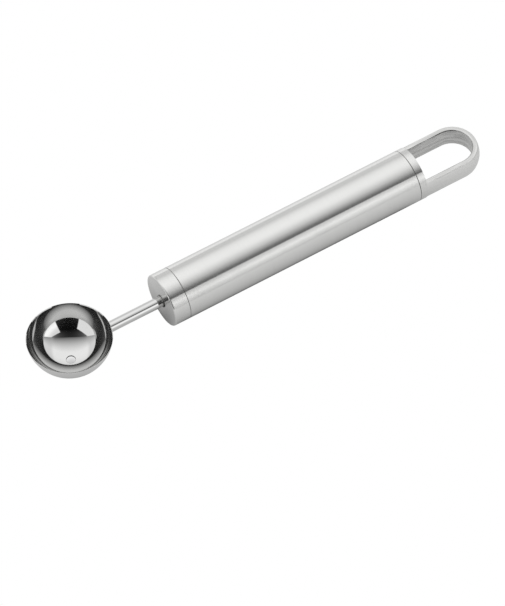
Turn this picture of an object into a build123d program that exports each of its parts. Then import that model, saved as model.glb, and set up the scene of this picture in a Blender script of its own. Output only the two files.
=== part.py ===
from build123d import *
from math import atan2, cos, degrees, radians, sin, sqrt
import os

# Melon baller, all of steel, in millimetres.
# It lies on its handle as on a table: X runs from the bowl to the hanging loop, Z is up,
# and the origin is under the middle of its length, on the surface that it lies on.

# Handle: front cap, tube and rear cap, turned to one diameter
handle_diameter = 19.4
front_cap_length = 6.2
tube_length = 93.8
tube_wall = 1.0
collar_length = 2.75
front_edge_radius = 0.45
seam_chamfer = 0.14
spigot_length = 7.0
spigot_chamfer = 0.5
spigot_clearance = 0.05

# Hanging loop, milled out of the rear cap
leg_thickness = 2.45
slot_straight_length = 16.0
strap_height = 7.5
loop_chamfer = 0.25

# Stem between the handle and the bowl
stem_diameter = 3.4
stem_clearance = 0.03
stem_tail_length = 1.2
stem_tail_chamfer = 0.4

# Bowl: a pressed cap of a ball, a little shallower than half of it, ground thin towards its cutting rim
bowl_reach = 36.3
bowl_diameter = 30.0
bowl_depth = 13.0
bowl_wall = 0.6
rim_wall = 0.15
rim_above_axis = 5.4
bowl_lean = 1.35
drain_diameter = 3.2
drain_chamfer = 0.15

# Weld beads
bowl_weld_leg = 0.6
face_weld_leg = 0.7

# Every cut runs past the metal by this much
overrun = 2.0

# Places worked out from the sizes
handle_radius = handle_diameter / 2
bowl_radius = bowl_diameter / 2
stem_radius = stem_diameter / 2
slot_radius = handle_radius - leg_thickness
slot_width = 2 * slot_radius
strap_half = strap_height / 2
flat_band = sqrt(handle_radius**2 - strap_half**2) - slot_radius
lean = radians(bowl_lean)

rear_seam_x = front_cap_length + tube_length
slot_start_x = rear_seam_x + collar_length
loop_centre_x = slot_start_x + slot_straight_length
loop_end_x = loop_centre_x + handle_radius
bowl_end_x = bowl_reach + bowl_radius * cos(lean)
face_x = (bowl_end_x - loop_end_x) / 2

ball_radius = (bowl_radius**2 + bowl_depth**2) / (2 * bowl_depth)
ball_above_rim = ball_radius - bowl_depth
hollow_rim_radius = bowl_radius - rim_wall
hollow_depth = bowl_depth - bowl_wall
hollow_radius = (hollow_rim_radius**2 + hollow_depth**2) / (2 * hollow_depth)
hollow_above_rim = hollow_radius - hollow_depth

# The handle's side plane has its X along the axis, from the front face, and its Y up from the axis.
# The bowl's side plane stands in the middle of the rim circle, with its Y out of the bowl's mouth.
handle_side = Plane(origin=(face_x, 0, handle_radius), x_dir=(1, 0, 0), z_dir=(0, -1, 0))
bowl_side = Plane(
    origin=(face_x - bowl_reach, 0, handle_radius + rim_above_axis),
    x_dir=(cos(lean), 0, -sin(lean)),
    z_dir=(0, -1, 0),
)
bowl_mouth = Plane(origin=bowl_side.origin, x_dir=bowl_side.x_dir, z_dir=bowl_side.y_dir)
handle_axis = Axis(handle_side.origin, handle_side.x_dir)
bowl_axis = Axis(bowl_side.origin, bowl_side.y_dir)
ball_centre = bowl_side.origin + bowl_side.y_dir * ball_above_rim
face_plane = Plane(origin=handle_side.origin, x_dir=(0, 1, 0), z_dir=(1, 0, 0))

os.makedirs("parts", exist_ok=True)


# Front cap: a turned plug with a rounded front edge, a spigot in the tube and a bore for the stem
spigot_radius = handle_radius - tube_wall - spigot_clearance
front_cap_end_x = front_cap_length + spigot_length
with BuildPart() as front_cap:
    with BuildSketch(handle_side):
        with BuildLine():
            Polyline(
                (0, 0),
                (0, handle_radius),
                (front_cap_length, handle_radius),
                (front_cap_length, spigot_radius),
                (front_cap_end_x, spigot_radius),
                (front_cap_end_x, 0),
                close=True,
            )
        make_face()
    revolve(axis=handle_axis)
    with BuildSketch(face_plane.offset(-overrun)):
        Circle(stem_radius + stem_clearance)
    extrude(amount=front_cap_end_x + 2 * overrun, mode=Mode.SUBTRACT)
    outer_edges = front_cap.edges().filter_by(GeomType.CIRCLE).group_by(SortBy.RADIUS)[-1]
    chamfer(outer_edges.sort_by(Axis.X).last, length=min(seam_chamfer, tube_wall / 2))
    front_edge = front_cap.faces().sort_by(Axis.X).first.outer_wire().edges()
    fillet(front_edge, radius=min(front_edge_radius, front_cap_length / 2))
    chamfer(front_cap.faces().sort_by(Axis.X).last.outer_wire().edges(), length=spigot_chamfer)
front_cap.part.label = "front_cap"
export_step(front_cap.part, "parts/front_cap.step")


# Handle tube: plain, with its outer edges broken so that the two seams show as hairlines
with BuildPart() as handle_tube:
    with BuildSketch(face_plane.offset(front_cap_length)):
        Circle(handle_radius)
        Circle(handle_radius - tube_wall, mode=Mode.SUBTRACT)
    extrude(amount=tube_length)
    outer_edges = handle_tube.edges().filter_by(GeomType.CIRCLE).group_by(SortBy.RADIUS)[-1]
    chamfer(outer_edges, length=min(seam_chamfer, tube_wall / 2))
handle_tube.part.label = "handle_tube"
export_step(handle_tube.part, "parts/handle_tube.step")


# Rear cap: turned with a spigot, a collar and a ball-shaped end, then milled.
# Two flats leave a strap across the middle, and a slot with one half-round end makes it a loop.
with BuildPart() as rear_cap:
    with BuildSketch(handle_side):
        with BuildLine():
            Polyline(
                (loop_end_x, 0),
                (rear_seam_x - spigot_length, 0),
                (rear_seam_x - spigot_length, spigot_radius),
                (rear_seam_x, spigot_radius),
                (rear_seam_x, handle_radius),
                (loop_centre_x, handle_radius),
            )
            CenterArc((loop_centre_x, 0), handle_radius, start_angle=0, arc_size=90)
        make_face()
    revolve(axis=handle_axis)
    outer_edges = rear_cap.edges().filter_by(GeomType.CIRCLE).group_by(SortBy.RADIUS)[-1]
    chamfer(outer_edges.sort_by(Axis.X).first, length=min(seam_chamfer, tube_wall / 2))
    chamfer(rear_cap.faces().sort_by(Axis.X).first.outer_wire().edges(), length=spigot_chamfer)
    with BuildSketch(handle_side):
        with Locations((slot_start_x, strap_half), (slot_start_x, -strap_half - handle_diameter)):
            Rectangle(
                slot_straight_length + handle_diameter,
                handle_diameter,
                align=(Align.MIN, Align.MIN),
            )
    extrude(amount=handle_diameter, both=True, mode=Mode.SUBTRACT)
    with BuildSketch(Plane.XY.offset(handle_radius)):
        with Locations((face_x + slot_start_x, 0)):
            Rectangle(slot_straight_length, slot_width, align=(Align.MIN, Align.CENTER))
        with Locations((face_x + loop_centre_x, 0)):
            Circle(slot_radius)
    extrude(amount=strap_height, both=True, mode=Mode.SUBTRACT)
    flats = rear_cap.faces().filter_by(Axis.Z)
    loop_edges = flats.edges().filter_by(Axis.Y, reverse=True)
    chamfer(loop_edges, length=min(loop_chamfer, strap_half / 4, flat_band / 4))
rear_cap.part.label = "rear_cap"
export_step(rear_cap.part, "parts/rear_cap.step")


# Bowl: the pressed cap of a ball with a small drain hole at its lowest point.
# Its hollow is part of a slightly smaller ball, so the wall thins evenly to the cutting rim.
outside_sweep = degrees(atan2(bowl_radius, ball_above_rim))
hollow_sweep = degrees(atan2(hollow_rim_radius, hollow_above_rim))
with BuildPart() as bowl:
    with BuildSketch(bowl_side):
        with BuildLine():
            outside = CenterArc((0, ball_above_rim), ball_radius, start_angle=-90, arc_size=outside_sweep)
            hollow = CenterArc((0, hollow_above_rim), hollow_radius, start_angle=-90, arc_size=hollow_sweep)
            Line(outside @ 0, hollow @ 0)
            Line(outside @ 1, hollow @ 1)
        make_face()
    revolve(axis=bowl_axis)
    with BuildSketch(bowl_mouth):
        Circle(drain_diameter / 2)
    extrude(amount=-(bowl_depth + overrun), mode=Mode.SUBTRACT)
    drain_edges = bowl.edges().filter_by(GeomType.CIRCLE).group_by(SortBy.RADIUS)[0]
    chamfer(drain_edges, length=min(drain_chamfer, bowl_wall / 4))
bowl.part.label = "bowl"
export_step(bowl.part, "parts/bowl.step")


# Stem: a round rod, coped to the bowl's wall at one end and let through the front cap's bore
stem_end_x = front_cap_end_x + stem_tail_length
with BuildPart() as stem:
    with BuildSketch(face_plane.offset(stem_end_x)):
        Circle(stem_radius)
    extrude(amount=-(stem_end_x + bowl_reach))
    chamfer(stem.faces().sort_by(Axis.X).last.outer_wire().edges(), length=stem_tail_chamfer)
    with Locations(ball_centre):
        Sphere(ball_radius, mode=Mode.SUBTRACT)
stem.part.label = "stem"
export_step(stem.part, "parts/stem.step")


# Bowl weld: a small sloped fillet of weld metal where the stem meets the bowl's wall
with BuildPart() as bowl_weld:
    with BuildSketch(face_plane):
        Circle(stem_radius)
    extrude(amount=-bowl_reach)
    with Locations(ball_centre):
        Sphere(ball_radius)
    corner = bowl_weld.edges(Select.NEW).group_by(Axis.X)[-1]
    chamfer(corner, length=bowl_weld_leg)
    with BuildSketch(face_plane.offset(overrun)):
        Circle(stem_radius)
    extrude(amount=-(bowl_reach + overrun), mode=Mode.SUBTRACT)
    with Locations(ball_centre):
        Sphere(ball_radius, mode=Mode.SUBTRACT)
bowl_weld.part.label = "bowl_weld"
export_step(bowl_weld.part, "parts/bowl_weld.step")


# Face weld: a small raised bead round the stem where it enters the front cap
with BuildPart() as face_weld:
    with BuildSketch(handle_side):
        with BuildLine():
            Line((0, stem_radius), (-face_weld_leg, stem_radius))
            Line((0, stem_radius), (0, stem_radius + face_weld_leg))
            RadiusArc((-face_weld_leg, stem_radius), (0, stem_radius + face_weld_leg), face_weld_leg)
        make_face()
    revolve(axis=handle_axis)
face_weld.part.label = "face_weld"
export_step(face_weld.part, "parts/face_weld.step")
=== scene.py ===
import logging
from dataclasses import dataclass, field
from enum import Enum

import bmesh
import bpy
import numpy as np
from mathutils import Matrix, Vector


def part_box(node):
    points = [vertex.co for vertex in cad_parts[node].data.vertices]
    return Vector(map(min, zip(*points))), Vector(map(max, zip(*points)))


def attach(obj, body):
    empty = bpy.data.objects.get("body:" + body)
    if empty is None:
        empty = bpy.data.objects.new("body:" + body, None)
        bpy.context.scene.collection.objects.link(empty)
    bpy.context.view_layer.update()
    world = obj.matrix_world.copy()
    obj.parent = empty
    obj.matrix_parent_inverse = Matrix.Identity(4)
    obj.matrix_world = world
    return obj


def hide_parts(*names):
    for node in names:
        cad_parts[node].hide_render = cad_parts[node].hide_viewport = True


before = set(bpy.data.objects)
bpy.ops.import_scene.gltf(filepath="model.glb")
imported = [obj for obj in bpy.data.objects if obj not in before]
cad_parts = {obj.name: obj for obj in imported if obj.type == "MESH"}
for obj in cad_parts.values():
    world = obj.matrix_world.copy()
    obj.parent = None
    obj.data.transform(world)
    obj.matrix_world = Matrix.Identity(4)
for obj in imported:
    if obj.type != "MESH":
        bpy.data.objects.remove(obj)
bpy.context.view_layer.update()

# A melon baller, all of steel. It lies on its handle: X runs from the bowl to the hanging loop, Z is up.
# Sizes are in millimetres, and meshes are written in metres.
MM = 0.001
GRAIN_MAP = "grain"
# Name of the per-point darkening: dirt in the seams and at the face weld, the bowl's film, and painted shade
# on the loop's strap.
DIRT_AND_SHADE = "dirt_and_shade"
# How much dirt sits in a seam, how many steps go round the stem, and the rounding of a hidden edge.
SEAM_SOIL = 0.55
ROUND_STEPS = 96
FINE_EDGE = 0.1
# The photograph is taken from this many degrees round from the front.
VIEW_AZIMUTH = -28.25

Array = np.ndarray
Pair = tuple[float, float]
Colour = tuple[float, float, float, float]
Piece = bpy.types.Object
Socket = bpy.types.NodeSocket
# What a node's input takes: a number, or a colour or direction, or the socket that gives it.
Number = float | Socket
Row = tuple[float, ...] | Socket

log = logging.getLogger("melon_baller")


class Slot(Enum):
    """The names of the two finishes."""

    MIRROR = "mirror_steel"
    SATIN = "satin_steel"


def corner_arc(
    before: Array, corner: Array, after: Array, radius: float, steps: int, spare_share: float = 0.4
) -> Array:
    """One rounded corner of an outline.

    The arc touches both runs. Its ends lie radius / tan(half the angle between the runs) from the corner,
    and its points are the arc's centre plus the radius times a direction that turns evenly from one end to
    the other. One more point beyond each end keeps the runs flat up to the arc.

    Args:
        before: A point on the run that arrives.
        corner: The sharp corner.
        after: A point on the run that leaves.
        radius: The rounding, in millimetres.
        steps: How many steps the arc has.
        spare_share: How far beyond the arc the flat points lie, as a share of the radius.

    Returns:
        The points of the rounded corner, one in each row.
    """
    arrive = (before - corner) / np.linalg.norm(before - corner)
    leave = (after - corner) / np.linalg.norm(after - corner)
    half = np.arccos(np.clip(arrive @ leave, -1, 1)) / 2
    reach = radius / np.tan(half)
    bisector = (arrive + leave) / np.linalg.norm(arrive + leave)
    centre = corner + bisector * radius / np.sin(half)
    first, last = corner + arrive * reach - centre, corner + leave * reach - centre
    turn = np.pi - 2 * half
    share = np.linspace(0, 1, steps + 1)[:, None]
    arc = centre + (np.sin((1 - share) * turn) * first + np.sin(share * turn) * last) / np.sin(turn)
    spare = radius * spare_share
    return np.vstack([corner + arrive * (reach + spare), arc, corner + leave * (reach + spare)])


@dataclass(frozen=True)
class Corner:
    """One corner of a turned outline, in millimetres, and whether dirt sits in it."""

    along: float
    out: float
    rounding: float = 0.0
    dirt_and_shade: float = 0.0


@dataclass
class Outline:
    """The points of a turned outline, along the axis and out from it, and how much dirt sits at each."""

    points: Array
    dirt_and_shade: Array

    @classmethod
    def rounded(cls, corners: list[Corner], steps: int = 5, closed: bool = False) -> "Outline":
        """An outline of straight runs with rounded corners.

        Args:
            corners: The corners in order. One with no rounding stays sharp.
            steps: How many steps each arc has.
            closed: True where the outline comes back to its first point.

        Returns:
            The outline. A corner's dirt lies on its arc and ends where the runs begin.
        """
        places = np.array([(corner.along, corner.out) for corner in corners])
        points, dirt_and_shade = [], []
        for index, corner in enumerate(corners):
            before, after = places[index - 1], places[(index + 1) % len(corners)]
            at_end = not closed and index in (0, len(corners) - 1)
            if at_end or corner.rounding <= 0:
                points.append(places[index][None])
                dirt_and_shade.append([corner.dirt_and_shade])
            else:
                points.append(corner_arc(before, places[index], after, corner.rounding, steps))
                dirt_and_shade.append([0.0, *[corner.dirt_and_shade] * (steps + 1), 0.0])
        if closed:
            points.append(points[0][:1])
            dirt_and_shade.append(dirt_and_shade[0][:1])
        return cls(np.vstack(points), np.concatenate(dirt_and_shade))


def lengths_along(points: Array) -> Array:
    """The distance of each point from the first, measured along the outline."""
    return np.concatenate([[0], np.cumsum(np.linalg.norm(np.diff(points, axis=0), axis=1))])


def full_turn(steps: int) -> Array:
    """Even angles from nought to a whole turn."""
    return np.linspace(0, 2 * np.pi, steps + 1)


@dataclass
class Turning:
    """The axis that a turned piece is made round."""

    origin: Array
    axis: Array
    side: Array

    def surface(self, outline: Array, angles: Array) -> Array:
        """A surface of revolution on a grid.

        Each point is the origin, plus its distance along the axis, plus its radius times a direction square
        to the axis that turns with the angle.

        Args:
            outline: For each row, the distance along the axis and the radius.
            angles: Angles round the axis, one for each column.

        Returns:
            The grid of points: rows follow the outline and columns go round.
        """
        across = np.cross(self.axis, self.side)
        ring = np.cos(angles)[:, None] * self.side + np.sin(angles)[:, None] * across
        along, radius = outline[:, :1, None], outline[:, 1:, None]
        return self.origin + along * self.axis + radius * ring


class Shell:
    """A closed surface made of grids and flat faces that share their edges."""

    weld_distance: float = 0.0005

    def __init__(self) -> None:
        """Starts with nothing in it."""
        self.places: list[Array] = []
        self.maps: list[Array] = []
        self.dirt_and_shade_values: list[Array] = []
        self.totals: list[Array] = []

    def add_grid(self, points: Array, across: Array, along: Array, dirt_and_shade: Array | None = None) -> None:
        """Adds the four-sided faces of a grid.

        Args:
            points: The grid of points, rows by columns by three.
            across: For each row, its distance across the grain.
            along: For each column, its distance along the grain.
            dirt_and_shade: For each row, how much it is darkened: dirt in seams, painted shade on the loop's
                strap. None is clean.
        """
        shape = points.shape[:2]
        dirt_and_shade_values = np.zeros(shape[0]) if dirt_and_shade is None else dirt_and_shade
        spread = (across[:, None], along[None], dirt_and_shade_values[:, None])
        u, v, d = (np.broadcast_to(values, shape)[..., None] for values in spread)
        grain = np.concatenate([u, v], axis=-1)
        for source, store in ((points, self.places), (grain, self.maps), (d, self.dirt_and_shade_values)):
            quads = np.stack([source[:-1, :-1], source[1:, :-1], source[1:, 1:], source[:-1, 1:]], axis=2)
            store.append(quads.reshape(-1, source.shape[-1]))
        self.totals.append(np.full((shape[0] - 1) * (shape[1] - 1), 4))

    def add_face(self, points: Array, grain: Array) -> None:
        """Adds one flat clean face.

        Args:
            points: Its corners in order.
            grain: For each corner, its distances across and along the grain.
        """
        self.places.append(points)
        self.maps.append(grain)
        self.dirt_and_shade_values.append(np.zeros((len(points), 1)))
        self.totals.append(np.array([len(points)]))

    def mesh(self, name: str, sharp_angle: float = 40.0) -> Piece:
        """Welds the faces into one closed mesh and puts it in the scene.

        Points that fall on the same spot of a fine raster become one vertex, and corners that fall together
        in a face, as at a pole, are left out of it.

        Args:
            name: The piece's name.
            sharp_angle: Faces that meet at more than this many degrees keep a sharp edge.

        Returns:
            The new object.
        """
        corners = np.vstack(self.places)
        grain = np.vstack(self.maps)
        totals = np.concatenate(self.totals)
        raster = np.round(corners / self.weld_distance).astype(np.int64)
        _, first, index = np.unique(raster, axis=0, return_index=True, return_inverse=True)
        index = index.ravel()
        starts = np.concatenate([[0], np.cumsum(totals)[:-1]])
        following = np.arange(len(index)) + 1
        following[starts + totals - 1] = starts
        kept = index != index[following]
        owner = np.repeat(np.arange(len(totals)), totals)
        sides = np.bincount(owner[kept], minlength=len(totals))
        kept &= sides[owner] > 2
        sides = np.bincount(owner[kept], minlength=len(totals))
        sides = sides[sides > 2]
        mesh = bpy.data.meshes.new(name)
        mesh.vertices.add(len(first))
        mesh.vertices.foreach_set("co", (corners[first] * MM).astype(np.float32).ravel())
        mesh.loops.add(int(kept.sum()))
        mesh.loops.foreach_set("vertex_index", index[kept].astype(np.int32))
        mesh.polygons.add(len(sides))
        loop_starts = np.concatenate([[0], np.cumsum(sides)[:-1]])
        mesh.polygons.foreach_set("loop_start", loop_starts.astype(np.int32))
        mesh.update(calc_edges=True)
        layer = mesh.uv_layers.new(name=GRAIN_MAP)
        layer.data.foreach_set("uv", grain[kept].astype(np.float32).ravel())
        dirt_and_shade_values = np.vstack(self.dirt_and_shade_values)[first].astype(np.float32)
        mesh.attributes.new(DIRT_AND_SHADE, "FLOAT", "POINT").data.foreach_set("value", dirt_and_shade_values.ravel())
        turned = bmesh.new()
        turned.from_mesh(mesh)
        bmesh.ops.recalc_face_normals(turned, faces=turned.faces)
        turned.to_mesh(mesh)
        turned.free()
        mesh.shade_smooth()
        mesh.set_sharp_from_angle(angle=np.radians(sharp_angle))
        piece = bpy.data.objects.new(name, mesh)
        bpy.context.scene.collection.objects.link(piece)
        log.info("%s: %d vertices, %d faces", name, len(first), len(sides))
        return piece


def turned_piece(name: str, turning: Turning, outline: Outline, angles: Array) -> Piece:
    """A piece turned from one outline.

    Args:
        name: The piece's name.
        turning: The axis that it is made round.
        outline: The outline that goes round.
        angles: Angles round the axis, from one seam to the same seam again.

    Returns:
        The new object. Its grain runs round the axis.
    """
    shell = Shell()
    points = outline.points
    grid = turning.surface(points, angles)
    shell.add_grid(grid, lengths_along(points), angles * points[:, 1].max(), outline.dirt_and_shade)
    return shell.mesh(name)


class Wiring:
    """Adds nodes to one tree. A number or colour sets a socket, and a socket is linked to it."""

    def __init__(self, tree: bpy.types.NodeTree) -> None:
        """Takes the tree that the nodes go into."""
        self.tree = tree

    def add(self, kind: str, inputs: dict | None = None, **settings: object) -> bpy.types.Node:
        """Adds one node.

        Args:
            kind: The node's type.
            inputs: Values or sockets for its inputs, by name or number.
            **settings: The node's own settings.

        Returns:
            The new node.
        """
        node = self.tree.nodes.new(kind)
        for name, value in settings.items():
            setattr(node, name, value)
        for name, value in (inputs or {}).items():
            if isinstance(value, Socket):
                self.tree.links.new(value, node.inputs[name])
            else:
                node.inputs[name].default_value = value
        return node

    def group(self, tree: bpy.types.NodeTree, values: tuple[float, ...] = ()) -> bpy.types.Node:
        """Adds a node group.

        Args:
            tree: The group.
            values: Numbers for its first inputs.

        Returns:
            The new node.
        """
        node = self.add("ShaderNodeGroup", node_tree=tree)
        for socket, value in zip(node.inputs, values):
            socket.default_value = value
        return node

    def math(self, operation: str, first: Number, second: Number = 0.0) -> Socket:
        """One calculation with two values."""
        return self.add("ShaderNodeMath", {0: first, 1: second}, operation=operation).outputs[0]

    def dot(self, first: Row, second: Row) -> Socket:
        """How far one vector reaches along another."""
        node = self.add("ShaderNodeVectorMath", {0: first, 1: second}, operation="DOT_PRODUCT")
        return node.outputs["Value"]

    def ramp(
        self,
        value: Number,
        low: float,
        high: float,
        at_low: float = 0.0,
        at_high: float = 1.0,
        smooth: bool = True,
    ) -> Socket:
        """A value that changes while another one goes from low to high.

        Args:
            value: The other value.
            low: Where the change begins.
            high: Where it ends.
            at_low: What comes out up to low.
            at_high: What comes out from high on.
            smooth: True where the change begins and ends softly.

        Returns:
            The changed value.
        """
        kind = "SMOOTHSTEP" if smooth else "LINEAR"
        inputs = {"Value": value, "From Min": low, "From Max": high, "To Min": at_low, "To Max": at_high}
        node = self.add("ShaderNodeMapRange", inputs, interpolation_type=kind, clamp=True)
        return node.outputs["Result"]

    def blend(self, share: Number, first: Number, second: Number) -> Socket:
        """A value between two others."""
        return self.add("ShaderNodeMix", {0: share, 2: first, 3: second}, data_type="FLOAT").outputs[0]

    def tint(self, share: Number, first: Row, second: Row) -> Socket:
        """A colour between two others."""
        return self.add("ShaderNodeMix", {0: share, 6: first, 7: second}, data_type="RGBA").outputs[2]


def new_group(name: str, inputs: dict[str, float], outputs: list[str]) -> tuple[bpy.types.NodeTree, Wiring]:
    """An empty node group with number sockets.

    Args:
        name: The group's name.
        inputs: The inputs' names and the values they start with.
        outputs: The outputs' names.

    Returns:
        The group and the wiring that fills it.
    """
    group = bpy.data.node_groups.new(name, "ShaderNodeTree")
    for title, value in inputs.items():
        socket = group.interface.new_socket(title, in_out="INPUT", socket_type="NodeSocketFloat")
        socket.default_value = value
    for title in outputs:
        group.interface.new_socket(title, in_out="OUTPUT", socket_type="NodeSocketFloat")
    return group, Wiring(group)


def new_material(name: str) -> tuple[bpy.types.Material, Wiring]:
    """An empty material.

    Args:
        name: The material's name.

    Returns:
        The material and the wiring that fills it.
    """
    material = bpy.data.materials.new(name)
    material.use_nodes = True
    material.node_tree.nodes.clear()
    return material, Wiring(material.node_tree)


def grain_group(
    layers: tuple[Pair, ...] = ((1.0, 2.0), (7.0, 3.0)),
    roughness: float = 0.6,
    limits: Pair = (0.3, 0.7),
) -> bpy.types.NodeTree:
    """The lines that a belt or a lathe tool leaves, long along the grain and close across it.

    Args:
        layers: For the fine lines and for the broader bands, how much coarser they are and their detail.
        roughness: How strong the detail is.
        limits: The values of the mixed noise that give no shade and full shade.

    Returns:
        A group that puts out Shade, from 0 to 1, and Height, both made of fine lines over broader bands.
    """
    inputs = {"Lines per mm": 8.0, "Broken per mm": 0.05, "Bands": 0.5}
    group, w = new_group("grain_lines", inputs, ["Shade", "Height"])
    source = w.add("NodeGroupInput").outputs
    spread = w.add("ShaderNodeUVMap", uv_map=GRAIN_MAP).outputs[0]
    place = w.add("ShaderNodeSeparateXYZ", {0: spread}).outputs
    noises = []
    for coarser, detail in layers:
        across = w.math("DIVIDE", w.math("MULTIPLY", place[0], source["Lines per mm"]), coarser)
        along = w.math("MULTIPLY", place[1], source["Broken per mm"])
        vector = w.add("ShaderNodeCombineXYZ", {0: across, 1: along, 2: coarser}).outputs[0]
        settings = {"Vector": vector, "Scale": 1.0, "Detail": detail, "Roughness": roughness}
        noises.append(w.add("ShaderNodeTexNoise", settings).outputs[0])
    mixed = w.blend(source["Bands"], *noises)
    shade = w.ramp(mixed, *limits, smooth=False)
    w.add("NodeGroupOutput", {"Shade": shade, "Height": mixed})
    return group


def handling_group(
    smudge_limits: Pair = (0.42, 0.68), noise_mean: float = 0.5, scratch_width: float = 0.006
) -> bpy.types.NodeTree:
    """Soft smudges and a few hair scratches from use.

    Args:
        smudge_limits: The values of the broad noise that give no smudge and a full one.
        noise_mean: The value of the fine noise where the scratches run.
        scratch_width: How far from that value they end.

    Returns:
        A group that puts out Smudge and Scratch, both from 0 to 1.
    """
    inputs = {"Smudges per mm": 0.08, "Scratches per mm": 0.5}
    group, w = new_group("handling_marks", inputs, ["Smudge", "Scratch"])
    source = w.add("NodeGroupInput").outputs
    place = w.add("ShaderNodeTexCoord").outputs["Object"]
    in_mm = w.add("ShaderNodeVectorMath", {0: place, "Scale": 1 / MM}, operation="SCALE").outputs[0]
    broad = {"Vector": in_mm, "Scale": source["Smudges per mm"], "Detail": 3.0}
    smudge = w.ramp(w.add("ShaderNodeTexNoise", broad).outputs[0], *smudge_limits)
    fine = {"Vector": in_mm, "Scale": source["Scratches per mm"], "Detail": 1.0}
    bent = w.add("ShaderNodeTexNoise", fine).outputs[0]
    near = w.math("ABSOLUTE", w.math("SUBTRACT", bent, noise_mean))
    scratch = w.ramp(near, 0.0, scratch_width, 1.0, 0.0)
    w.add("NodeGroupOutput", {"Smudge": smudge, "Scratch": scratch})
    return group


@dataclass(frozen=True)
class SatinSteel:
    """Stainless steel with a fine even grain: sharp along the grain, soft across it."""

    name: str = "satin_steel"
    light: Colour = (0.69, 0.69, 0.68, 1)
    dark: Colour = (0.64, 0.64, 0.63, 1)
    # The dark colour that dirt and the loop's painted shade tint the steel towards.
    dirt_and_shade_colour: Colour = (0.035, 0.033, 0.030, 1)
    roughness: Pair = (0.18, 0.23)
    anisotropy: float = 1.0
    lines_per_mm: float = 9.0
    broken_per_mm: float = 0.03
    bands: float = 0.45
    relief: float = 0.12
    streaks_per_mm: float = 0.9
    streak_breaks_per_mm: float = 0.09
    streak_share: Pair = (0.1, 1.9)
    relief_depth: float = 0.01
    smudge_roughness: float = 0.02
    dirt_and_shade_roughness: float = 0.3

    def material(self, grain: bpy.types.NodeTree, marks: bpy.types.NodeTree) -> bpy.types.Material:
        """The finish as a material.

        Args:
            grain: The group of grain lines.
            marks: The group of handling marks.

        Returns:
            The new material.
        """
        material, w = new_material(self.name)
        lines = w.group(grain, (self.lines_per_mm, self.broken_per_mm, self.bands))
        streaks = w.group(grain, (self.streaks_per_mm, self.streak_breaks_per_mm, 0.0))
        worn = w.group(marks)
        low, high = self.roughness
        rough = w.ramp(lines.outputs["Shade"], 0.0, 1.0, low, high, smooth=False)
        smudged = w.math("MULTIPLY", worn.outputs["Smudge"], self.smudge_roughness)
        rough = w.math("ADD", rough, smudged)
        depth = self.relief_depth * MM
        relief = {"Strength": self.relief, "Distance": depth, "Height": lines.outputs["Height"]}
        normal = w.add("ShaderNodeBump", relief).outputs[0]
        # Darkens the steel: dirt in the seams and round the face weld, painted shade on the loop's slot
        # edges and inner wall, and a plain darkening of its flats. The streaks make it uneven.
        dirt_and_shade = w.add("ShaderNodeAttribute", attribute_name=DIRT_AND_SHADE).outputs["Fac"]
        uneven = w.ramp(streaks.outputs["Shade"], 0.0, 1.0, *self.streak_share, smooth=False)
        dirt_and_shade = w.math("MULTIPLY", dirt_and_shade, uneven)
        steel = w.tint(lines.outputs["Shade"], self.dark, self.light)
        tangent = w.add("ShaderNodeTangent", direction_type="UV_MAP", uv_map=GRAIN_MAP).outputs[0]
        shader = w.add(
            "ShaderNodeBsdfPrincipled",
            {
                "Base Color": w.tint(dirt_and_shade, steel, self.dirt_and_shade_colour),
                "Metallic": 1.0,
                "Roughness": w.math("ADD", rough, w.math("MULTIPLY", dirt_and_shade, self.dirt_and_shade_roughness)),
                "Anisotropic": self.anisotropy,
                "Normal": normal,
                "Tangent": tangent,
            },
        )
        w.add("ShaderNodeOutputMaterial", {"Surface": shader.outputs[0]})
        return material


@dataclass(frozen=True)
class MirrorSteel:
    """Stainless steel polished until it reflects like a mirror."""

    name: str = "mirror_steel"
    clean: Colour = (0.62, 0.62, 0.615, 1)
    hazed: Colour = (0.59, 0.59, 0.585, 1)
    roughness: Pair = (0.04, 0.09)
    lines_per_mm: float = 5.0
    broken_per_mm: float = 0.15
    film: float = 0.045
    scratch_roughness: float = 0.02

    def material(self, grain: bpy.types.NodeTree, marks: bpy.types.NodeTree) -> bpy.types.Material:
        """The finish as a material.

        Args:
            grain: The group of grain lines.
            marks: The group of handling marks.

        Returns:
            The new material.
        """
        material, w = new_material(self.name)
        lines = w.group(grain, (self.lines_per_mm, self.broken_per_mm))
        worn = w.group(marks)
        low, high = self.roughness
        haze = w.math("MULTIPLY", worn.outputs["Smudge"], lines.outputs["Shade"])
        rough = w.ramp(haze, 0.0, 1.0, low, high, smooth=False)
        scratched = w.math("MULTIPLY", worn.outputs["Scratch"], self.scratch_roughness)
        rough = w.math("ADD", rough, scratched)
        dirt_and_shade = w.add("ShaderNodeAttribute", attribute_name=DIRT_AND_SHADE).outputs["Fac"]
        film = w.math("MULTIPLY", dirt_and_shade, self.film)
        shader = w.add(
            "ShaderNodeBsdfPrincipled",
            {
                "Base Color": w.tint(haze, self.clean, self.hazed),
                "Metallic": w.math("SUBTRACT", 1.0, film),
                "Roughness": rough,
            },
        )
        w.add("ShaderNodeOutputMaterial", {"Surface": shader.outputs[0]})
        return material


@dataclass
class Finishes:
    """The materials that the pieces are dressed in."""

    mirror: bpy.types.Material
    satin: bpy.types.Material

    def dress(self, piece: Piece, slot: Slot, *nodes: str) -> None:
        """Gives a piece its finish, and lets it stand for its solids.

        Args:
            piece: The new piece.
            slot: Which finish it has.
            *nodes: The solids that it stands for.
        """
        piece.data.materials.append(self.mirror if slot is Slot.MIRROR else self.satin)
        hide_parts(*nodes)
        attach(piece, "root")
        log.info("%s stands for %s in %s", piece.name, ", ".join(nodes), slot.value)


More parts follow.
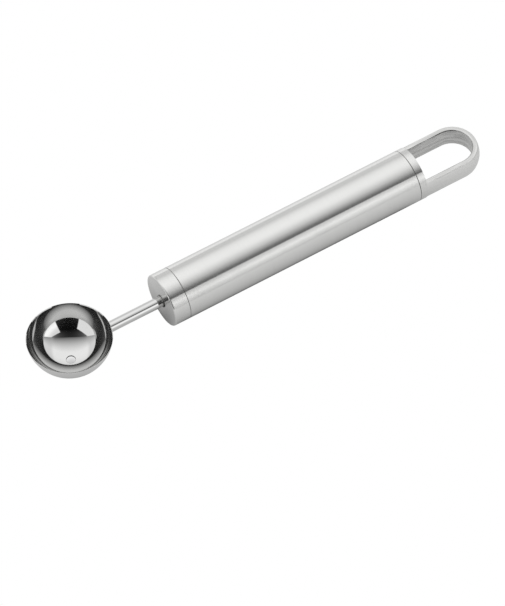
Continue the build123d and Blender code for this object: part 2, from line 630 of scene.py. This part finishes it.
@dataclass
class Handle:
    """The front cap and the tube, turned to one diameter."""

    wall: float = 1.0
    front_edge: float = 0.5
    seam_edge: float = 0.12
    spigot_length: float = 7.0
    spigot_clearance: float = 0.05
    spigot_edge: float = 0.5
    bore_radius: float = 1.98
    segments: int = 256
    front: float = field(init=False)
    front_seam: float = field(init=False)
    rear_seam: float = field(init=False)
    radius: float = field(init=False)

    def __post_init__(self) -> None:
        """Reads the handle's places from the solids."""
        low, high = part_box("front_cap")
        self.front = low.x / MM
        self.radius = (high.z - low.z) / 2 / MM
        low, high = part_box("handle_tube")
        self.front_seam, self.rear_seam = low.x / MM, high.x / MM

    @property
    def turning(self) -> Turning:
        """The handle's axis, with angles counted from straight down."""
        return Turning(np.array([0, 0, self.radius]), np.array([1.0, 0, 0]), np.array([0, 0, -1.0]))

    @property
    def angles(self) -> Array:
        """Even angles all round, from the underside to the underside again."""
        return full_turn(self.segments)

    @property
    def spigot_radius(self) -> float:
        """The radius of the spigots that the tube is pressed on."""
        return self.radius - self.wall - self.spigot_clearance

    def build_front_cap(self) -> Piece:
        """The turned plug: bore, face, rounded edge, cylinder, seam and spigot, in one closed outline.

        Returns:
            The new piece.
        """
        end = self.front_seam + self.spigot_length
        outline = Outline.rounded(
            [
                Corner(self.front, self.bore_radius, FINE_EDGE),
                Corner(self.front, self.radius, self.front_edge),
                Corner(self.front_seam, self.radius, self.seam_edge, dirt_and_shade=SEAM_SOIL),
                Corner(self.front_seam, self.spigot_radius, FINE_EDGE, dirt_and_shade=SEAM_SOIL),
                Corner(end, self.spigot_radius, self.spigot_edge),
                Corner(end, self.bore_radius, FINE_EDGE),
            ],
            closed=True,
        )
        return turned_piece("front_cap_turned", self.turning, outline, self.angles)

    def build_tube(self) -> Piece:
        """The plain tube with softly broken ends.

        Returns:
            The new piece.
        """
        inside = self.radius - self.wall
        outline = Outline.rounded(
            [
                Corner(self.front_seam, self.radius, self.seam_edge, dirt_and_shade=SEAM_SOIL),
                Corner(self.rear_seam, self.radius, self.seam_edge, dirt_and_shade=SEAM_SOIL),
                Corner(self.rear_seam, inside, FINE_EDGE),
                Corner(self.front_seam, inside, FINE_EDGE),
            ],
            closed=True,
        )
        return turned_piece("handle_tube_ground", self.turning, outline, self.angles)

    def build(self, finishes: Finishes) -> None:
        """Makes both pieces and dresses them."""
        finishes.dress(self.build_front_cap(), Slot.SATIN, "front_cap")
        finishes.dress(self.build_tube(), Slot.SATIN, "handle_tube")


@dataclass
class HangingLoop:
    """The rear cap: a spigot and a collar, and a flat strap that goes round as a loop."""

    handle: Handle
    collar_length: float = 2.75
    leg_thickness: float = 2.45
    strap_height: float = 7.5
    strap_edge: float = 0.22
    slot_edge: float = 0.3
    # Painted shade on the slot's edges, a lighter painted shade on the slot's inner wall, and a little
    # darkening of the flats.
    edge_painted_shade: float = 0.55
    flat_darkening: float = 0.12
    slot_painted_shade: float = 0.17
    contact_steps: int = 24
    back_steps: int = 72
    bend_steps: int = 96
    corner_steps: int = 5
    corner_room: float = 1.25

    @property
    def root(self) -> float:
        """Where the collar ends and the strap begins."""
        return self.handle.rear_seam + self.collar_length

    @property
    def centre(self) -> float:
        """The centre of the loop's round end."""
        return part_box("rear_cap")[1].x / MM - self.handle.radius

    def section(self) -> Array:
        """The strap's section.

        The outer side is the arc of the handle's own circle, the inner side and both flats are straight, and
        the four edges are softly rounded.

        Returns:
            For each point, its distance from the loop's middle plane and its height above the handle's axis.
            The first and the last are the bottom of the outer arc.
        """
        half, radius, edge = self.strap_height / 2, self.handle.radius, self.strap_edge
        inner = radius - self.leg_thickness
        corner = np.sqrt(radius**2 - half**2)
        reach = np.arcsin(half / radius) - self.corner_room * edge / radius
        heights = np.linspace(-reach, reach, self.contact_steps + 1)
        outer = np.stack([radius * np.cos(heights), radius * np.sin(heights)], axis=1)
        flat_end, slot_top, slot_middle = np.array([[corner, half], [inner, half], [inner, 0]])
        top = corner_arc(outer[-1], flat_end, slot_top, edge, self.corner_steps)
        inside_top = corner_arc(flat_end, slot_top, slot_middle, self.slot_edge, self.corner_steps)
        rest = np.vstack([top, inside_top])
        below = (rest * np.array([1, -1]))[::-1]
        return np.vstack([outer, rest[1:], below[:-1], outer[:1]])

    def path(self) -> tuple[Array, Array]:
        """The way that the section is carried.

        Returns:
            The place of the middle at each step, and the direction that points out of the loop there. The
            middle runs along one leg, stays at the centre while the direction makes a half turn, and runs
            back.
        """
        turn = np.linspace(0, np.pi, self.bend_steps + 1)
        outward = np.stack([np.sin(turn), np.cos(turn), np.zeros_like(turn)], axis=1)
        middle = np.tile([self.centre, 0.0, self.handle.radius], (len(turn), 1))
        first = np.array([[self.root, 0.0, self.handle.radius]])
        outward = np.vstack([outward[:1], outward, outward[-1:]])
        return np.vstack([first, middle, first]), outward

    def build_rear_cap(self) -> Piece:
        """The whole rear cap as one closed shell.

        The collar's last ring has points where the strap's outer arc meets it, so the strap goes on from
        the collar without a seam, and one flat face closes what is left of the collar's end. Painted shade
        darkens the strap's edges by the slot most and the inside of the slot a little; its flats are only a
        little darker.

        Returns:
            The new piece.
        """
        shell = Shell()
        section = self.section()
        middle, outward = self.path()
        aside, above = section[:, None, :1], section[:, None, 1:]
        strap = middle[None] + aside * outward[None] + above * np.array([0, 0, 1.0])
        run = lengths_along(middle + outward * (self.handle.radius - self.leg_thickness / 2))
        by_slot = section[:, 0] < self.handle.radius - self.leg_thickness + self.slot_edge
        by_flat = np.abs(section[:, 1]) > self.strap_height / 2 - self.slot_edge
        # Painted shade: the slot's edges get the darkest line and the slot's inner wall a lighter one; the
        # flats are only darkened a little.
        strap_darkening = np.select(
            [by_slot & by_flat, by_slot, by_flat],
            [self.edge_painted_shade, self.slot_painted_shade, self.flat_darkening],
        )
        shell.add_grid(strap, lengths_along(section), run, strap_darkening)

        contact = section[: self.contact_steps + 1]
        half_contact = np.arctan2(contact[-1, 1], contact[-1, 0])
        right = np.arctan2(contact[:, 1], contact[:, 0])
        top = np.linspace(half_contact, np.pi - half_contact, self.back_steps + 1)
        angles = np.concatenate([right, top[1:], np.pi + right[1:], top[1:] + np.pi])
        spigot_end = self.handle.rear_seam - self.handle.spigot_length
        collar = Outline.rounded(
            [
                Corner(spigot_end, 0),
                Corner(spigot_end, self.handle.spigot_radius, self.handle.spigot_edge),
                Corner(self.handle.rear_seam, self.handle.spigot_radius, FINE_EDGE, dirt_and_shade=SEAM_SOIL),
                Corner(self.handle.rear_seam, self.handle.radius, self.handle.seam_edge, dirt_and_shade=SEAM_SOIL),
                Corner(self.root, self.handle.radius),
            ]
        )
        sideways = Turning(self.handle.turning.origin, np.array([1.0, 0, 0]), np.array([0, 1.0, 0]))
        turned = sideways.surface(collar.points, angles)
        shell.add_grid(turned, lengths_along(collar.points), angles * self.handle.radius, collar.dirt_and_shade)

        free = section[self.contact_steps :]
        legs = [np.stack([side * free[:, 0], free[:, 1]], axis=1) for side in (1, -1)]
        over = np.stack([np.cos(top), np.sin(top)], axis=1) * self.handle.radius
        outline = np.vstack([legs[0][::-1][:-1], over[:-1], legs[1][:-1], -over[:-1]])
        heights = outline[:, 1] + self.handle.radius
        flat = np.stack([np.full(len(outline), self.root), outline[:, 0], heights], axis=1)
        shell.add_face(flat, outline[:, ::-1])
        return shell.mesh("rear_cap_milled")

    def build(self, finishes: Finishes) -> None:
        """Makes the rear cap and dresses it."""
        finishes.dress(self.build_rear_cap(), Slot.SATIN, "rear_cap")


@dataclass
class Bowl:
    """The pressed bowl, its stem and the two weld beads."""

    handle: Handle
    reach: float = 36.3
    rim_above_axis: float = 5.4
    lean: float = 1.35
    diameter: float = 30.0
    depth: float = 13.0
    wall: float = 0.6
    rim_flat: float = 0.08
    bevel: Pair = (0.17, 0.28)
    drain_diameter: float = 3.2
    rim_edge: float = 0.02
    film_reach: Pair = (-9.5, -5.0)
    drain_edge: float = 0.16
    rim_steps: int = 3
    drain_steps: int = 5
    stem_diameter: float = 3.9
    tail_edge: float = 0.35
    cope_steps: int = 8
    bead_steps: int = 12
    bead_roundness: float = 0.8
    weld_hollow: float = 1.2
    bowl_weld_leg: float = 0.6
    face_weld_legs: Pair = (0.4, 0.45)
    face_weld_soil: float = 0.8
    arc_steps: int = 110
    segments: int = 320

    @property
    def up(self) -> Array:
        """The direction out of the bowl's mouth."""
        angle = np.radians(self.lean)
        return np.array([np.sin(angle), 0, np.cos(angle)])

    @property
    def rim_centre(self) -> Array:
        """The middle of the rim circle."""
        return np.array([self.handle.front - self.reach, 0, self.handle.radius + self.rim_above_axis])

    @property
    def ball_radius(self) -> float:
        """The radius of the ball that the bowl's outside is part of."""
        return ((self.diameter / 2) ** 2 + self.depth**2) / (2 * self.depth)

    @property
    def ball_centre(self) -> Array:
        """The centre of that ball."""
        return self.rim_centre + self.up * (self.ball_radius - self.depth)

    def ball_arc(self, rim_radius: float, depth: float, drop: float = 0.0) -> Array:
        """A cap of a ball in section, from the drain hole to the rim.

        The ball's radius is (rim radius squared + depth squared) / (2 x depth), and its centre lies above
        the rim by that radius less the depth. Points are the centre plus the radius at angles from the hole
        to the rim.

        Args:
            rim_radius: The cap's radius at its edge.
            depth: How deep the cap is.
            drop: How far its edge lies below the bowl's rim.

        Returns:
            Heights above the bowl's rim and distances from the bowl's axis.
        """
        radius = (rim_radius**2 + depth**2) / (2 * depth)
        above = radius - depth
        at_drain = np.arcsin(self.drain_diameter / 2 / radius)
        angles = np.linspace(at_drain, np.arccos(above / radius), self.arc_steps + 1)
        return np.stack([above - drop - radius * np.cos(angles), radius * np.sin(angles)], axis=1)

    def build_bowl(self) -> Piece:
        """The bowl: outside, ground rim, bevel, hollow and drain hole, in one closed turned outline.

        Points next to a corner give way to the rounded corner's own. The hollow has a faint film that grows
        from nothing, low on its wall, to its full strength further up.

        Returns:
            The new piece.
        """
        width, drop = self.bevel
        rim = self.diameter / 2 - self.rim_flat
        outside = self.ball_arc(self.diameter / 2, self.depth)
        hollow = self.ball_arc(rim - width, self.depth - self.wall - drop, drop)[::-1]
        inner_rim = np.array([0.0, rim])
        points = np.vstack(
            [
                outside[2:-2],
                corner_arc(outside[-2], outside[-1], inner_rim, self.rim_edge, self.rim_steps),
                corner_arc(outside[-1], inner_rim, hollow[0], self.rim_edge, self.rim_steps),
                corner_arc(inner_rim, hollow[0], hollow[1], self.rim_edge, self.rim_steps),
                hollow[1:-2],
                corner_arc(hollow[-2], hollow[-1], outside[0], self.drain_edge, self.drain_steps),
                corner_arc(hollow[-1], outside[0], outside[1], self.drain_edge, self.drain_steps),
                outside[2:3],
            ]
        )
        from_bottom = np.interp(points[:, 0], self.film_reach, (0.0, 1.0))
        in_hollow = np.arange(len(points)) > len(outside)
        outline = Outline(points, from_bottom * in_hollow)
        turning = Turning(self.rim_centre, self.up, np.array([0, 1.0, 0]))
        return turned_piece("bowl_pressed", turning, outline, full_turn(self.segments))

    def ball_cut(self, points: Array) -> Array:
        """Where lines along the handle's axis through the points leave the ball, on the handle's side."""
        offset = points[..., 1:] - self.ball_centre[1:]
        return self.ball_centre[0] + np.sqrt(self.ball_radius**2 - (offset**2).sum(axis=-1))

    def build_stem(self) -> Piece:
        """The polished rod: its front end follows the ball, and its rear end is flat with a broken edge.

        Returns:
            The new piece.
        """
        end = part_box("stem")[1].x / MM
        radius = self.stem_diameter / 2
        front, edge = Corner(self.handle.front, radius), Corner(end, radius, self.tail_edge)
        tail = Outline.rounded([front, edge, Corner(end, 0)]).points
        angles = full_turn(ROUND_STEPS)
        body = self.handle.turning.surface(tail, angles)
        shares = np.linspace(0, 1, self.cope_steps + 1)[:, None]
        coped = self.handle.turning.surface(shares * np.array([0, radius]), angles)
        coped[..., 0] = self.ball_cut(coped)
        shell = Shell()
        points = np.vstack([coped, body])
        distances = np.concatenate([shares[:, 0] * radius, radius + lengths_along(tail) + self.reach])
        shell.add_grid(points, distances, angles * radius)
        return shell.mesh("stem_polished")

    def build_bowl_weld(self) -> Piece:
        """The hollow fillet of weld metal round the stem's front end.

        Its face runs from a ring on the stem to a ring on the ball. Between them each point is a mean of the
        two rings drawn towards the corner, by an amount that is largest halfway.

        Returns:
            The new piece.
        """
        radius, leg = self.stem_diameter / 2, self.bowl_weld_leg
        angles = full_turn(ROUND_STEPS)
        on_stem = self.handle.turning.surface(np.array([[0, radius]]), angles)
        corner = on_stem.copy()
        corner[..., 0] = self.ball_cut(on_stem)
        on_stem[..., 0] = corner[..., 0] + leg
        on_ball = self.handle.turning.surface(np.array([[0, radius + leg]]), angles)
        on_ball[..., 0] = self.ball_cut(on_ball)
        share = np.linspace(0, 1, self.cope_steps + 1)[:, None, None]
        face = (1 - share) * on_stem + share * on_ball
        face = face + (corner - face) * (self.weld_hollow * share * (1 - share))
        shell = Shell()
        points = np.vstack([corner, face, corner])
        shell.add_grid(points, np.linspace(0, 3 * leg, len(points)), angles * radius)
        return shell.mesh("bowl_weld_bead")

    def build_face_weld(self) -> Piece:
        """The raised bead round the stem where it enters the front cap, darkened by its weld.

        In section it is a quarter of a rounded oval: forth x sin(t) to a power along the stem, and out x
        cos(t) to the same power away from it, for t from nought to a quarter turn.

        Returns:
            The new piece.
        """
        radius, (forth, out) = self.stem_diameter / 2, self.face_weld_legs
        swell = np.linspace(0, np.pi / 2, self.bead_steps + 1)
        along = self.handle.front - forth * np.sin(swell) ** self.bead_roundness
        bead = np.stack([along, radius + out * np.cos(swell) ** self.bead_roundness], axis=1)
        points = np.vstack([[self.handle.front, radius], bead, [self.handle.front, radius]])
        outline = Outline(points, np.full(len(points), self.face_weld_soil))
        angles = full_turn(ROUND_STEPS)
        return turned_piece("face_weld_bead", self.handle.turning, outline, angles)

    def build(self, finishes: Finishes) -> None:
        """Makes the four pieces and dresses them.

        Args:
            finishes: The materials.
        """
        finishes.dress(self.build_bowl(), Slot.MIRROR, "bowl")
        finishes.dress(self.build_stem(), Slot.MIRROR, "stem")
        finishes.dress(self.build_bowl_weld(), Slot.MIRROR, "bowl_weld")
        finishes.dress(self.build_face_weld(), Slot.SATIN, "face_weld")


@dataclass
class PhotoCamera:
    """The camera at the photograph's place. Its lens is long, so lines stay nearly parallel."""

    azimuth: float = VIEW_AZIMUTH
    elevation: float = 53.63
    roll: float = -3.676
    distance: float = 1815.6
    aim: tuple[float, float, float] = (-12.577, -17.8, 9.7)
    lens: float = 313.1
    sensor: float = 36.0
    clip: Pair = (0.1, 40.0)

    def towards_camera(self) -> Vector:
        """The direction from the object to the camera."""
        a, e = np.radians(self.azimuth), np.radians(self.elevation)
        return Vector((np.sin(a) * np.cos(e), -np.cos(a) * np.cos(e), np.sin(e)))

    def build(self) -> None:
        """Makes the camera and gives it to the scene."""
        data = bpy.data.cameras.new("photo_camera")
        data.lens, data.sensor_width, data.sensor_fit = self.lens, self.sensor, "AUTO"
        data.clip_start, data.clip_end = self.clip
        camera = bpy.data.objects.new("photo_camera", data)
        bpy.context.scene.collection.objects.link(camera)
        back = self.towards_camera()
        turn = back.to_track_quat("Z", "Y").to_matrix() @ Matrix.Rotation(np.radians(self.roll), 3, "Z")
        place = (Vector(self.aim) + back * self.distance) * MM
        camera.matrix_world = Matrix.Translation(place) @ turn.to_4x4()
        bpy.context.scene.camera = camera
        log.info("camera at azimuth %.1f, elevation %.1f", self.azimuth, self.elevation)


@dataclass(frozen=True)
class Shade:
    """A dim part of the floor, round the X axis from low to high, in millimetres.

    Depth is the share of the light that is lost, up to reach from that part of the axis.
    """

    low: float
    high: float
    reach: float
    depth: float = 1.0


@dataclass
class Studio:
    """A white room: a soft panel overhead, two tall white cards in front with a gap, and a pale floor.

    The front is where the camera stands, and left and right are as the object sees them. Directions are
    given as on a ceiling. The floor's sizes are in millimetres.
    """

    azimuth: float = VIEW_AZIMUTH
    softness: float = 0.02
    strength: float = 1.27
    panel_edge: float = 0.48
    panel_skew: float = 0.06
    panel_reach: Pair = (-0.29, 0.46)
    panel_fall: Pair = (0.84, 0.60)
    panel_bend: float = 1.25
    panel_sides: Pair = (0.85, 1.25)
    side_share: float = 0.8
    wall_reach: Pair = (-2.5, -0.45)
    wall_share: float = 0.63
    low_reach: float = 0.4
    low_share: float = 1.29
    card_tops: tuple[Pair, Pair] = ((0.84, 0.45), (0.60, -0.65))
    gap: Pair = (-0.49, 0.70)
    card_middle: Pair = (0.35, 0.62)
    card_light: tuple[float, float, float] = (0.78, 1.22, 0.84)
    right_card_light: float = 0.9
    brim_light: float = 0.024
    brim_side_light: float = 0.12
    brim_reach: Pair = (0.5, 1.15)
    brim_share: float = 0.06
    brim_limit: float = 2.0
    horizon: float = 0.02
    floor_radius: float = 9000.0
    floor_sides: int = 64
    floor_light: Pair = (0.88, 1.18)
    floor_back: Pair = (5.0, 90.0)
    shade_power: float = 1.4
    shades: tuple[Shade, ...] = (
        Shade(-31.0, 54.0, 6.5),
        Shade(-75.0, -75.0, 5.4),
        Shade(64.0, 82.0, 8.0, 0.05),
    )
    # The painted contact shadow that the camera sees under the handle and the bowl: its reach and its
    # darkest tone.
    contact_shadow_reach: float = 5.2
    contact_shadow_tone: float = 0.55

    def light(self) -> None:
        """The world's light as a function of direction.

        A direction has a share a that points to the front, a share s to its side and a share z upwards.
        Ahead is a / z and aside is s / z, as on a ceiling. The panel shines where ahead is less than its
        edge, which leans a little on the right. It is brightest just behind its middle, and dims to its
        front edge, to its sides and down the wall behind, save at its foot. The cards stand under their
        tops, where z is less than one of two sums of a and s, outside the gap between two values of s / a.
        The left one is brightest halfway up, and the right one is even. What is left is the brim, which is
        faint next to the panel, a little lighter at its sides, and nearly black lower down.
        """
        world = bpy.data.worlds.new("studio")
        bpy.context.scene.world = world
        world.use_nodes = True
        world.node_tree.nodes.clear()
        w = Wiring(world.node_tree)
        angle = np.radians(self.azimuth)
        ray = w.add("ShaderNodeTexCoord").outputs["Generated"]
        a = w.dot(ray, (np.sin(angle), -np.cos(angle), 0))
        s = w.dot(ray, (np.cos(angle), np.sin(angle), 0))
        z = w.dot(ray, (0, 0, 1))
        height = w.math("MAXIMUM", z, self.horizon)
        ahead, aside = w.math("DIVIDE", a, height), w.math("DIVIDE", s, height)
        soft = self.softness

        fall = w.math("POWER", w.ramp(ahead, *self.panel_reach, smooth=False), self.panel_bend)
        to_side = w.ramp(w.math("ABSOLUTE", aside), *self.panel_sides)
        panel = w.math("SUBTRACT", 1.0, w.math("MULTIPLY", fall, w.blend(to_side, *self.panel_fall)))
        panel = w.math("MULTIPLY", panel, w.blend(to_side, 1.0, self.side_share))
        panel = w.math("MULTIPLY", panel, w.ramp(ahead, *self.wall_reach, self.wall_share, 1.0))
        panel = w.math("MULTIPLY", panel, w.ramp(z, 0.0, self.low_reach, self.low_share, 1.0))
        skew = w.math("MULTIPLY", w.math("MINIMUM", aside, 0.0), self.panel_skew)
        before = w.math("SUBTRACT", ahead, skew)
        in_panel = w.ramp(before, self.panel_edge - soft, self.panel_edge + soft, 1.0, 0.0)

        tops = [
            w.math("ADD", w.math("MULTIPLY", a, forth), w.math("MULTIPLY", s, sideways))
            for forth, sideways in self.card_tops
        ]
        under_tops = w.ramp(w.math("SUBTRACT", w.math("MAXIMUM", *tops), z), -soft, soft)
        left, right = (w.math("MULTIPLY", a, side) for side in self.gap)
        in_gap = w.math(
            "MULTIPLY",
            w.ramp(w.math("SUBTRACT", s, left), -soft, soft),
            w.ramp(w.math("SUBTRACT", right, s), -soft, soft),
        )
        in_card = w.math("MULTIPLY", under_tops, w.math("SUBTRACT", 1.0, in_gap))

        sides = w.math("MINIMUM", w.math("MULTIPLY", aside, aside), self.brim_limit)
        brim = w.math("ADD", w.math("MULTIPLY", sides, self.brim_side_light), self.brim_light)
        brim = w.math("MULTIPLY", brim, w.ramp(ahead, *self.brim_reach, 1.0, self.brim_share))
        foot, middle, top = self.card_light
        card = w.blend(w.ramp(z, 0.0, self.card_middle[0], smooth=False), foot, middle)
        card = w.blend(w.ramp(z, *self.card_middle), card, top)
        card = w.blend(w.ramp(s, -soft, soft), self.right_card_light, card)
        level = w.blend(in_card, brim, card)
        level = w.blend(in_panel, level, panel)
        seen = w.add("ShaderNodeLightPath").outputs["Is Camera Ray"]
        level = w.blend(seen, w.math("MULTIPLY", level, self.strength), 1.0)
        tone = w.add("ShaderNodeCombineColor", {0: level, 1: level, 2: level}).outputs[0]
        glow = w.add("ShaderNodeBackground", {"Color": tone, "Strength": 1.0})
        w.add("ShaderNodeOutputWorld", {"Surface": glow.outputs[0]})

    def away_from(self, w: Wiring, place: Socket, shade: Shade) -> Socket:
        """The distance on the floor from a shade's part of the X axis.

        Args:
            w: The wiring of the floor's material.
            place: The place on the floor, in millimetres.
            shade: The shade.

        Returns:
            The distance, in millimetres.
        """
        x, y, _ = w.add("ShaderNodeSeparateXYZ", {0: place}).outputs
        middle, half = (shade.low + shade.high) / 2, (shade.high - shade.low) / 2
        beyond = w.math("SUBTRACT", w.math("ABSOLUTE", w.math("SUBTRACT", x, middle)), half)
        offset = w.add("ShaderNodeCombineXYZ", {0: w.math("MAXIMUM", beyond, 0.0), 1: y}).outputs[0]
        return w.add("ShaderNodeVectorMath", {0: offset}, operation="LENGTH").outputs["Value"]

    def floor(self) -> None:
        """A round pale floor.

        It glows. In the steel it is seen as a table with the object's shadow painted on it: its light grows
        to the back, and is lessened by the factor 1 - depth x (reach / distance) to a power, for each shade.
        The camera sees it white, save for a painted contact shadow where it lies close under the handle or
        the bowl.
        """
        turn = np.linspace(0, 2 * np.pi, self.floor_sides, endpoint=False)
        rim = np.stack([np.cos(turn), np.sin(turn), np.zeros_like(turn)], axis=1) * self.floor_radius * MM
        mesh = bpy.data.meshes.new("floor")
        mesh.from_pydata(rim.tolist(), [], [list(range(len(rim)))])
        floor = bpy.data.objects.new("floor", mesh)
        bpy.context.scene.collection.objects.link(floor)
        material, w = new_material("pale_floor")
        position = w.add("ShaderNodeTexCoord").outputs["Object"]
        in_mm = {0: position, "Scale": 1 / MM}
        place = w.add("ShaderNodeVectorMath", in_mm, operation="SCALE").outputs[0]
        y = w.add("ShaderNodeSeparateXYZ", {0: place}).outputs[1]
        level, nearest = w.ramp(y, *self.floor_back, *self.floor_light), self.floor_radius
        # Painted shadows of the handle, the bowl and the loop on the glowing floor, as the steel sees it.
        for shade in self.shades:
            distance = self.away_from(w, place, shade)
            closeness = w.math("DIVIDE", shade.reach, w.math("MAXIMUM", distance, shade.reach))
            loss = w.math("MULTIPLY", w.math("POWER", closeness, self.shade_power), shade.depth)
            level = w.math("MULTIPLY", w.math("SUBTRACT", 1.0, loss), level)
            nearest = w.math("MINIMUM", distance, nearest) if shade.depth == 1.0 else nearest
        # Painted contact shadow: the camera sees grey close under the handle and the bowl, white further
        # out.
        seen_by_camera = w.ramp(nearest, 0.0, self.contact_shadow_reach, self.contact_shadow_tone, 1.0)
        seen = w.add("ShaderNodeLightPath").outputs["Is Camera Ray"]
        glow = w.add("ShaderNodeEmission", {"Strength": w.blend(seen, level, seen_by_camera)}).outputs[0]
        w.add("ShaderNodeOutputMaterial", {"Surface": glow})
        mesh.materials.append(material)

    def build(self) -> None:
        """Lights the room and lays the floor."""
        self.light()
        self.floor()
        bpy.context.scene.view_settings.view_transform = "Standard"
        log.info("studio ready")


def main() -> None:
    """Builds the melon baller piece by piece, then the studio and the camera."""
    logging.basicConfig(level=logging.INFO, format="%(name)s: %(message)s")
    grain, marks = grain_group(), handling_group()
    finishes = Finishes(MirrorSteel().material(grain, marks), SatinSteel().material(grain, marks))
    handle = Handle()
    handle.build(finishes)
    HangingLoop(handle).build(finishes)
    Bowl(handle).build(finishes)
    Studio().build()
    PhotoCamera().build()


if __name__ == "__main__":
    main()
